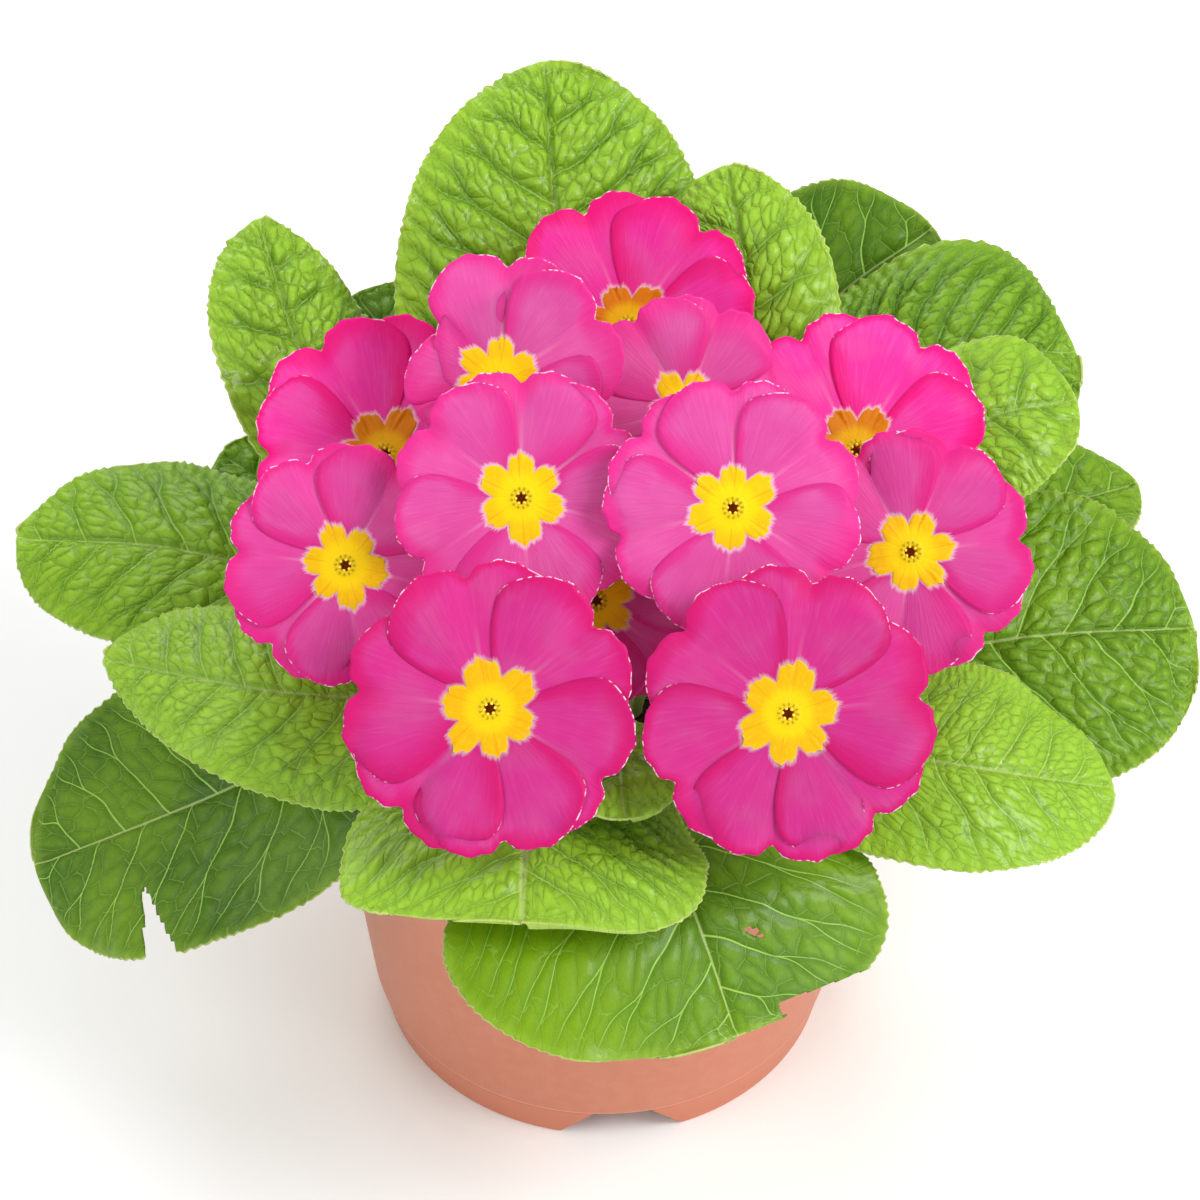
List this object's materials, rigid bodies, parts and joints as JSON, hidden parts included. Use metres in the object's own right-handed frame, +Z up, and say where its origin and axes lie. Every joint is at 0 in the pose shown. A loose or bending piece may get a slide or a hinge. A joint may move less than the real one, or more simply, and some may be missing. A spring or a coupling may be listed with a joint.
{
  "type": "potted primrose",
  "caption": "Primrose in flower with magenta, yellow-eyed blooms over a rosette of crinkled leaves, planted in a plain terracotta-coloured plastic pot.",
  "frame": {"origin": "on the ground under the axis of the pot", "axes": "+Z up along the pot's axis, -Y towards the front, where the lowest and largest blooms look"},
  "size_m": [0.2228, 0.171, 0.1698],
  "materials": {
    "terracotta_plastic": "satin, moulded",
    "soil": "crumbly, matt peat",
    "young_leaf": "quilted, softly glossy light green",
    "old_leaf": "smoother, glossy darker green",
    "petal": "velvety magenta",
    "eye": "matt yellow",
    "stalk": "hairy pale green"
  },
  "bodies": {
    "root": {"pot": "terracotta_plastic", "soil": "soil", "leaf_01": "young_leaf", "leaf_02": "young_leaf", "leaf_03": "old_leaf", "leaf_04": "old_leaf", "leaf_05": "young_leaf", "leaf_06": "old_leaf", "leaf_07": "old_leaf", "leaf_08": "young_leaf", "leaf_09": "young_leaf", "leaf_10": "old_leaf", "leaf_11": "old_leaf", "leaf_12": "old_leaf", "leaf_13": "young_leaf", "leaf_14": "old_leaf", "leaf_15": "young_leaf", "leaf_16": "old_leaf", "leaf_17": "young_leaf", "bloom_01_petals": "petal", "bloom_01_eye": "eye", "bloom_01_stalk": "stalk", "bloom_02_petals": "petal", "bloom_02_eye": "eye", "bloom_02_stalk": "stalk", "bloom_03_petals": "petal", "bloom_03_eye": "eye", "bloom_03_stalk": "stalk", "bloom_04_petals": "petal", "bloom_04_eye": "eye", "bloom_04_stalk": "stalk", "bloom_05_petals": "petal", "bloom_05_eye": "eye", "bloom_05_stalk": "stalk", "bloom_06_petals": "petal", "bloom_06_eye": "eye", "bloom_06_stalk": "stalk", "bloom_07_petals": "petal", "bloom_07_eye": "eye", "bloom_07_stalk": "stalk", "bloom_08_petals": "petal", "bloom_08_eye": "eye", "bloom_08_stalk": "stalk", "bloom_09_petals": "petal", "bloom_09_eye": "eye", "bloom_09_stalk": "stalk", "bloom_10_petals": "petal", "bloom_10_eye": "eye", "bloom_10_stalk": "stalk", "bloom_11_petals": "petal", "bloom_11_eye": "eye", "bloom_11_stalk": "stalk", "bloom_12_petals": "petal", "bloom_12_eye": "eye", "bloom_12_stalk": "stalk"}
  },
  "joints": []
}
